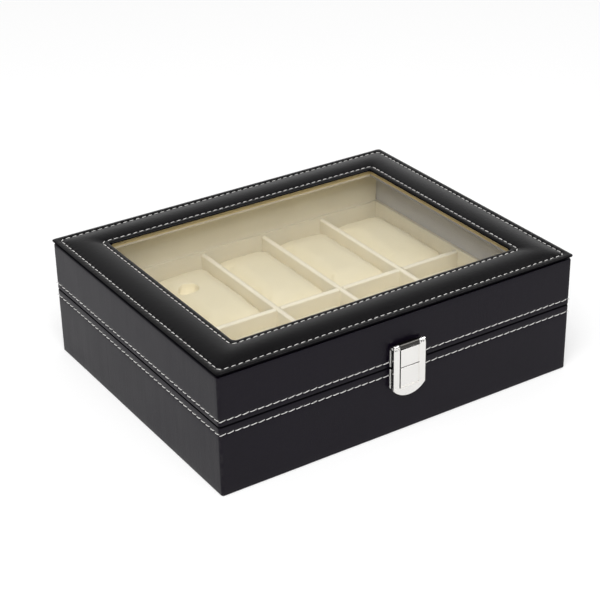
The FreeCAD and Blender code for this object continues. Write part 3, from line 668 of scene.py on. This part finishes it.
# Window
# A pane of clear float glass, laid on the lining cards from below and held by a tan ply ring.
# The top board over the ring has the same sealed edge, seen as a gilt band round the window.
pane, place = new_finish("window_glass")
for old in list(place.tree.nodes):
    if old.type == "BSDF_PRINCIPLED":
        place.tree.nodes.remove(old)
smear = place.grain(30.0, 4.0)
clear = place.node("ShaderNodeBsdfTransparent", sockets={"Color": (0.985, 0.985, 0.985)})
mirror = place.node("ShaderNodeBsdfGlossy", sockets={"Color": (0.15, 0.15, 0.15), "Roughness": 0.02})
facing = place.node("ShaderNodeNewGeometry", out="Backfacing")
glint = place.node("ShaderNodeFresnel", sockets={"IOR": 1.5}) * (1.0 - facing)
sheet = place.node("ShaderNodeMixShader", sockets={0: glint * (smear * 0.1 + 0.95), 1: clear, 2: mirror})
place.feed(place.tree.nodes["Material Output"].inputs["Surface"], sheet)
lay_on(pane, "glass_pane")

tan_board, place = new_finish("sealed_tan_board")
specks = place.grain(1300.0, 4.0, 0.7)
x, y, z = place.axes()
plies = near(z, 0.0756, 0.00025)
at_ends = (abs(x) - abs(y) - (FACE_X - FACE_Y) * MM).rise(-0.0002, 0.0002)
sealed = (plies * 0.7).mix(specks.mix((0.36, 0.275, 0.125), (0.54, 0.43, 0.22)), (0.16, 0.115, 0.055))
shade(place, {
    # Below 74.4 mm the ring takes the lining's colours as they look in shade: painted shade.
    "Base Color": z.rise(0.0743, 0.0746).mix(at_ends.mix((0.50, 0.45, 0.345), (0.25, 0.245, 0.25)), sealed),
    "Roughness": specks * 0.2 + 0.42,
    "Normal": specks.relief(0.0001),
})
lay_on(tan_board, "window_frame", "top_frame_board")


# Padded cover
# Leather over a strip of sheet foam, sewn to the top board with an outer and an inner row and
# turned down at both edges. The foam lifts it between the rows, and each stitch draws it in.
COVER_X, COVER_Y = 124.5, 100.4
OUTER_ROW, INNER_ROW = 4.2, 23.1
OUTER_LEVEL, INNER_LEVEL = 77.95, 78.8
COVER_PITCH = 4.43
COVER_DARK, COVER_LIGHT = (0.0022, 0.0019, 0.0024), (0.0042, 0.0038, 0.0045)
PAD_BULGE = 0.8


def cover_corner(inset):
    """Corner radius of the cover at a distance inside its edge."""
    marks = ((0.0, 1.8), (OUTER_ROW, 3.0), (INNER_ROW, 3.4), (26.0, 2.8))
    for (near_inset, near_radius), (far_inset, far_radius) in zip(marks, marks[1:]):
        if inset <= far_inset:
            share = (inset - near_inset) / (far_inset - near_inset)
            return near_radius + share * (far_radius - near_radius)
    return marks[-1][1]


def cover_loop(inset):
    return loop(COVER_X - inset, COVER_Y - inset, cover_corner(inset), 158, 126)


rim = [(0.8, 76.8), (0.45, 76.9), (0.15, 77.2), (0.0, 77.65), (0.15, 78.0), (0.7, 78.24), (1.6, 78.36),
       (2.7, 78.34), (3.5, 78.18), (OUTER_ROW, OUTER_LEVEL)]
pad_steps = 15
pad = []
for step in range(1, pad_steps):
    share = step / pad_steps
    level = OUTER_LEVEL + share * (INNER_LEVEL - OUTER_LEVEL) + PAD_BULGE * math.sin(math.pi * share) ** 0.8
    pad.append((OUTER_ROW + share * (INNER_ROW - OUTER_ROW), level))
lip = [(INNER_ROW, INNER_LEVEL), (23.8, 78.98), (24.8, 79.02), (25.7, 78.88), (26.4, 78.55), (26.8, 78.15),
       (26.9, 77.8), (26.75, 77.55), (26.3, 77.45)]
under = [(25.6, 77.5), (25.42, 77.63), (14.0, 77.63), (3.45, 77.63), (3.42, 75.68), (2.75, 75.68),
         (2.7, 76.7)]
section = rim + pad + lip + under
skin = swept(section, cover_loop)
skin.verts.index_update()
around = len(cover_loop(0.0)[0])
sewn = [index for index in range(len(skin.verts))
        if not len(rim) <= index // around < len(rim) + len(pad)]
cover_mesh = as_mesh(skin, "padded_cover", 60)
cover_mesh = blown_up(cover_mesh, 35.0, 1.0, sewn)
cover_work = bpy.data.objects.new("cover_work", cover_mesh)
bpy.context.scene.collection.objects.link(cover_work)
finer = cover_work.modifiers.new("finer", "SUBSURF")
finer.levels = 1
finer.render_levels = 1
fine_mesh = worked(cover_work)
bpy.data.objects.remove(cover_work)
outer_stitches, outer_holes = row_places(COVER_X - OUTER_ROW, COVER_Y - OUTER_ROW, cover_corner(OUTER_ROW),
                                         OUTER_LEVEL, COVER_PITCH, up=True)
inner_stitches, inner_holes = row_places(COVER_X - INNER_ROW, COVER_Y - INNER_ROW, cover_corner(INNER_ROW),
                                         INNER_LEVEL, COVER_PITCH, up=True)
skin = bmesh.new()
skin.from_mesh(fine_mesh)
press_holes(skin.verts, outer_holes, 0.22, 0.8, 1.8)
press_holes(skin.verts, inner_holes, 0.18, 0.8, 1.4)
fine_mesh = as_mesh(skin, "padded_cover", 60)


def cover_wear(place):
    """Rubbed rim of the cover."""
    x, y, z = place.axes()
    edge = (abs(x) - COVER_X * MM).most(abs(y) - COVER_Y * MM)
    return edge.rise(-0.0014, -0.0004) * z.rise(0.0780, 0.0782)


def cover_shaded_edges(place):
    """The turned-under rim of the cover and its lip at the window, given a matt near-black as painted shade.
    """
    x, y, z = place.axes()
    edge = (abs(x) - COVER_X * MM).most(abs(y) - COVER_Y * MM)
    outer = edge.rise(-0.0018, -0.0011) * (1.0 - z.rise(0.0779, 0.0782))
    return outer.most(1.0 - edge.rise(-0.0268, -0.0263))


# The cover's under-rim and window lip are matt near-black: painted shade.
cover_leather = leather("cover_black_leather", cover_wear, cover_shaded_edges, COVER_DARK, COVER_LIGHT)
cover = new_piece("padded_cover", fine_mesh, cover_leather, "lid", "black_leather",
                  "top_frame_leather", "top_frame_foam")


# Stitches of the lid
# The row above the seam and the two rows of the padded cover, in the same off-white thread.
# The cover is sewn through its board, so these rows hold the foam strip in place.
raised = [(spot - out * THREAD_SINK, along, out) for spot, along, out in outer_stitches + inner_stitches]
lid_rows = repeated("lid_stitches", open_row(lid_stitches), wall_stitch, thread,
                    STITCH_LEAN, STITCH_LOOSE, 9)
new_piece("lid_stitches", lid_rows, thread, "lid", None)
cover_stitch = stitch_shape(3.6, 0.72)
cover_rows = repeated("cover_stitches", raised, cover_stitch, thread, STITCH_LEAN, STITCH_LOOSE, 6)
new_piece("cover_stitches", cover_rows, thread, "lid", None)


# Hinges
# Two butt hinges of plated steel at the back, folded from sheet round a pin and screwed
# through the leather into the walls with countersunk cross-head screws.
def metal(name, colour, smooth, rough, streaks):
    """Plated metal with fine streaks left by polishing, and a few dull patches."""
    material, place = new_finish(name)
    stretch = place.node("ShaderNodeMapping", sockets={"Vector": place, "Scale": streaks})
    lines = stretch.grain(1.0, 3.0)
    haze = place.grain(140.0, 4.0)
    shade(place, {
        "Base Color": haze.mix(tuple(part * 0.93 for part in colour), colour),
        "Metallic": 1.0,
        "Roughness": lines * rough + haze * 0.06 + smooth,
        "Normal": lines.relief(0.00002),
    })
    return material, place


def eased(name, node, width, material, body, slot, tool=None):
    """A copy of a CAD solid with its sharp edges broken."""
    form = bmesh.new()
    form.from_mesh(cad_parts[node].data)
    bmesh.ops.remove_doubles(form, verts=form.verts, dist=1e-6)
    bmesh.ops.dissolve_limit(form, angle_limit=math.radians(0.5), verts=form.verts, edges=form.edges)
    mesh = bpy.data.meshes.new(name)
    form.to_mesh(mesh)
    form.free()
    if tool:
        blank = bpy.data.objects.new(f"{name}_blank", mesh)
        bpy.context.scene.collection.objects.link(blank)
        carve = blank.modifiers.new("carve", "BOOLEAN")
        carve.object = tool
        carve.solver = "EXACT"
        mesh = worked(blank)
        mesh.name = name
        bpy.data.objects.remove(blank)
        bpy.data.objects.remove(tool)
    mesh.shade_smooth()
    mesh.set_sharp_from_angle(angle=math.radians(35))
    solid = new_piece(name, mesh, material, body, slot, node)
    edge = solid.modifiers.new("eased_edges", "BEVEL")
    edge.width = width * MM
    edge.segments = 2
    edge.limit_method = "ANGLE"
    edge.angle_limit = math.radians(35)
    edge.harden_normals = True


hinge_steel, place = metal("hinge_plating", (0.66, 0.64, 0.61), 0.22, 0.22, (40.0, 900.0, 900.0))
for half in ("base", "lid"):
    for side in ("left", "right"):
        node = f"hinge_{half}_leaf_{side}"
        eased(f"{node}_eased", node, 0.15, hinge_steel, half, "hinge_steel")
lay_on(hinge_steel, "hinge_pins")


def turned_rings(form, count, profile):
    """Rings of points about Z at these radii and heights, with faces between them."""
    rings = []
    for radius, level in profile:
        rings.append([form.verts.new(Vector((radius * math.cos(math.tau * side / count),
                                             radius * math.sin(math.tau * side / count), level)) * MM)
                      for side in range(count)])
    for upper, lower in zip(rings, rings[1:]):
        for side in range(count):
            after = (side + 1) % count
            form.faces.new((upper[side], upper[after], lower[after], lower[side]))
    return rings


def screw_shape():
    """A countersunk head and shank along Z, with a cross recess. Its face is at height 0."""
    head = bmesh.new()
    count = 16
    rings = turned_rings(head, count, ((1.72, 0.0), (1.8, -0.08), (0.9, -1.0), (0.9, -5.4), (0.15, -6.0)))
    head.faces.new(rings[-1])
    arm, width = 1.15, 0.24
    cross = [(arm, -width), (arm, width), (width, width), (width, arm), (-width, arm), (-width, width),
             (-arm, width), (-arm, -width), (-width, -width), (-width, -arm), (width, -arm), (width, -width)]
    top = [head.verts.new((x * MM, y * MM, 0)) for x, y in cross]
    foot = [head.verts.new((x * 0.8 * MM, y * 0.8 * MM, -0.5 * MM)) for x, y in cross]
    for index in range(len(cross)):
        after = (index + 1) % len(cross)
        head.faces.new((top[index], top[after], foot[after], foot[index]))
    head.faces.new(foot)
    edges = [head.edges.get((top[index], top[(index + 1) % len(top)])) for index in range(len(top))]
    edges += [head.edges.get((rings[0][side], rings[0][(side + 1) % count])) for side in range(count)]
    bmesh.ops.triangle_fill(head, use_beauty=True, use_dissolve=False, edges=edges)
    bmesh.ops.recalc_face_normals(head, faces=head.faces)
    return as_mesh(head, "screw_shape", 30)


back = Vector((0, 1, 0))
for half, level, seed in (("base", SEAM - 8.5, 3), ("lid", SEAM + 8.5, 5)):
    places = [(Vector((side * HINGE_X + end * 8.0, FACE_Y + 1.0, level)), Vector((1, 0, 0)), back)
              for side in (-1, 1) for end in (-1, 1)]
    screws = repeated(f"hinge_{half}_screw_set", places, screw_shape(), hinge_steel, 0.4, 0.9, seed)
    new_piece(f"hinge_{half}_screw_set", screws, hinge_steel, half, "hinge_steel", f"hinge_{half}_screws")


# Latch
# Bright plated steel: a plate with a catch on the base, a plate with a knuckle on the lid, and
# a hasp that swings on the knuckle's pin, with a snap spring inside and a scribed panel.
def dulled(place, mask):
    """Roughen a metal where a mask is 1."""
    gloss = Wire(place.tree, place.tree.nodes["Principled BSDF"].inputs["Roughness"].links[0].from_socket)
    shade(place, {"Roughness": gloss + mask * 0.5})


def highlit_sides(place):
    """The sides of a latch plate, rough and partly non-metallic so that they show pale: a painted highlight.
    """
    side = abs(place.axes()[0]).rise(0.0103, 0.0105)
    dulled(place, side)
    shade(place, {"Metallic": 1.0 - side * 0.7})


chrome, place = metal("bright_plating", (0.93, 0.92, 0.89), 0.10, 0.10, (900.0, 900.0, 60.0))
# Pale plate sides: painted highlight.
highlit_sides(place)
lay_on(chrome, "latch_pin", "latch_spring")
eased("latch_base_plate_eased", "latch_base_plate", 0.35, chrome, "base", "bright_metal")


def paint_shade(place, mask, dark=(0.035, 0.033, 0.031)):
    """Darken a metal's colour where a mask is 1, as painted shade."""
    plain = Wire(place.tree, place.tree.nodes["Principled BSDF"].inputs["Base Color"].links[0].from_socket)
    shade(place, {"Base Color": mask.mix(plain, dark)})


# A darker copy of the bright plating for the lid plate, with its knuckle near black: painted shade and
# painted dark reflection.
plate_chrome_shaded, place = metal("plate_plating_shaded", (0.86, 0.85, 0.82), 0.12, 0.10, (900.0, 900.0, 60.0))
paint_shade(place, place.axes()[2].rise(0.0558, 0.0564), (0.06, 0.057, 0.053))
highlit_sides(place)
eased("latch_lid_plate_eased", "latch_lid_plate", 0.3, plate_chrome_shaded, "lid", "bright_metal")

# A lighter copy of the bright plating for the hasp: painted highlight.
hasp_chrome_highlit, place = metal("hasp_plating_highlit", (1.0, 0.985, 0.955), 0.12, 0.08, (900.0, 900.0, 60.0))
x, y, z = place.axes()
# Painted shade: the groove left of the panel, a line at the seam and the knuckle between the ears, bar
# patches on its ears, are darkened.
groove_shade = y.rise(-0.10414, -0.10404) * near(x, -0.00655, 0.0012).rise(0.3, 0.4)
groove_shade = groove_shade * z.rise(0.0312, 0.0316) * (1.0 - y.rise(-0.10318, -0.10308))
seam_line_shade = near(z, SEAM * MM, 0.0006) * y.rise(-0.10356, -0.10348) * (1.0 - y.rise(-0.10318, -0.10308))
bright_ear = abs(x).rise(0.0064, 0.0067) * place.grain(1500.0).rise(0.42, 0.5)
knuckle_shade = z.rise(0.0566, 0.0572) * (1.0 - bright_ear)
paint_shade(place, groove_shade.most(seam_line_shade).most(knuckle_shade))
dulled(place, near(z, 0.0317, 0.0016))

scribe = bmesh.new()
bmesh.ops.create_cube(scribe, size=1.0)
bmesh.ops.scale(scribe, verts=scribe.verts, vec=(0.95 * MM, 1.1 * MM, 24.6 * MM))
bmesh.ops.translate(scribe, verts=scribe.verts, vec=(-6.6 * MM, -103.8 * MM, 44.0 * MM))
scribe_mesh = bpy.data.meshes.new("scribe_tool")
scribe.to_mesh(scribe_mesh)
scribe.free()
scribe_tool = bpy.data.objects.new("scribe_tool", scribe_mesh)
bpy.context.scene.collection.objects.link(scribe_tool)
eased("latch_hasp_eased", "latch_hasp", 0.18, hasp_chrome_highlit, "hasp", "bright_metal", scribe_tool)


def rivet_shape():
    """A domed rivet head along Z, with its shank behind it."""
    stud = bmesh.new()
    rings = turned_rings(stud, 14, ((0.35, 0.4), (0.85, 0.34), (1.25, 0.2), (1.5, 0.0), (0.9, 0.0),
                                    (0.9, -4.4)))
    stud.faces.new(rings[0])
    stud.faces.new(rings[-1])
    bmesh.ops.recalc_face_normals(stud, faces=stud.faces)
    return as_mesh(stud, "rivet_shape", 50)


ahead = Vector((0, -1, 0))
for half, level in (("base", SEAM - 4.6), ("lid", SEAM + 4.6)):
    places = [(Vector((end * 7.6, -FACE_Y - 0.8, level)), Vector((1, 0, 0)), ahead) for end in (-1, 1)]
    rivets = repeated(f"latch_{half}_rivet_set", places, rivet_shape(), chrome, 0.0, 1.0, 2)
    new_piece(f"latch_{half}_rivet_set", rivets, chrome, half, "bright_metal", f"latch_{half}_rivets")


# Floor, light and camera
# A plain white table in a pale room that fades to a dimmer ceiling. One large soft lamp from the
# front left lights matt surfaces, and one from the front right shows only as gloss.
def seen_by(wire, *kinds):
    """1 for rays of these kinds, which show the surroundings and light nothing."""
    rays = [wire.node("ShaderNodeLightPath", out=kind) for kind in kinds]
    seen = rays[0]
    for other in rays[1:]:
        seen = seen.most(other)
    return seen


table, place = new_finish("white_table")
paper = place.grain(400.0)
shade(place, {
    "Base Color": paper.mix((0.55, 0.55, 0.55), (0.57, 0.57, 0.57)),
    "Roughness": 0.9,
    "Specular IOR Level": 0.0,
    "Emission Color": seen_by(place, "Is Camera Ray") * 0.44 + seen_by(place, "Is Glossy Ray") * 0.25,
    "Emission Strength": 1.0,
})
TABLE_REACH, TABLE_LEVEL = 30.0, -0.0002
floor_mesh = bpy.data.meshes.new("table_top")
corners = [(x * TABLE_REACH, y * TABLE_REACH, TABLE_LEVEL) for x, y in ((-1, -1), (1, -1), (1, 1), (-1, 1))]
floor_mesh.from_pydata(corners, [], [(0, 1, 2, 3)])
floor_mesh.materials.append(table)
floor = bpy.data.objects.new("table_top", floor_mesh)
bpy.context.scene.collection.objects.link(floor)

room = bpy.data.worlds.new("studio")
bpy.context.scene.world = room
room.use_nodes = True
start = Wire(room.node_tree)
high = start.node("ShaderNodeTexCoord", out="Generated").axes()[2]
walls = 1.0 - high.rise(0.1, 0.75) * 0.8
seen = seen_by(start, "Is Camera Ray", "Is Glossy Ray", "Is Transmission Ray")
backdrop = room.node_tree.nodes["Background"]
start.feed(backdrop.inputs["Color"], (1.0, 1.0, 1.0))
start.feed(backdrop.inputs["Strength"], seen * walls + (1.0 - seen) * 0.5)


def soft_lamp(name, size, watts, toward, distance):
    """A square lamp that looks at the box from a direction."""
    lamp = bpy.data.lights.new(name, "AREA")
    lamp.shape = "SQUARE"
    lamp.size = size
    lamp.energy = watts
    softbox = bpy.data.objects.new(name, lamp)
    softbox.location = toward * distance
    softbox.rotation_euler = toward.to_track_quat("Z", "Y").to_euler()
    bpy.context.scene.collection.objects.link(softbox)
    return softbox


soft_lamp("softbox", 1.1, 17.0, Vector((0.478, -0.352, 0.805)), 2.0).visible_diffuse = False
soft_lamp("top_softbox", 2.2, 83.5, Vector((-0.35, -0.45, 0.82)), 3.0).visible_glossy = False

eye = Vector((-0.485763, -0.748826, 0.518221))
right = Vector((0.83749001, -0.54619396, -0.0168116))
up = Vector((0.26973977, 0.38645025, 0.8819845))
lens = bpy.data.cameras.new("camera")
lens.lens = 98.0233
lens.sensor_width = 36.0
camera = bpy.data.objects.new("camera", lens)
turn = Matrix((right, up, right.cross(up))).transposed().to_4x4()
camera.matrix_world = Matrix.Translation(eye) @ turn
bpy.context.scene.collection.objects.link(camera)
bpy.context.scene.camera = camera
bpy.context.scene.view_settings.view_transform = "Standard"
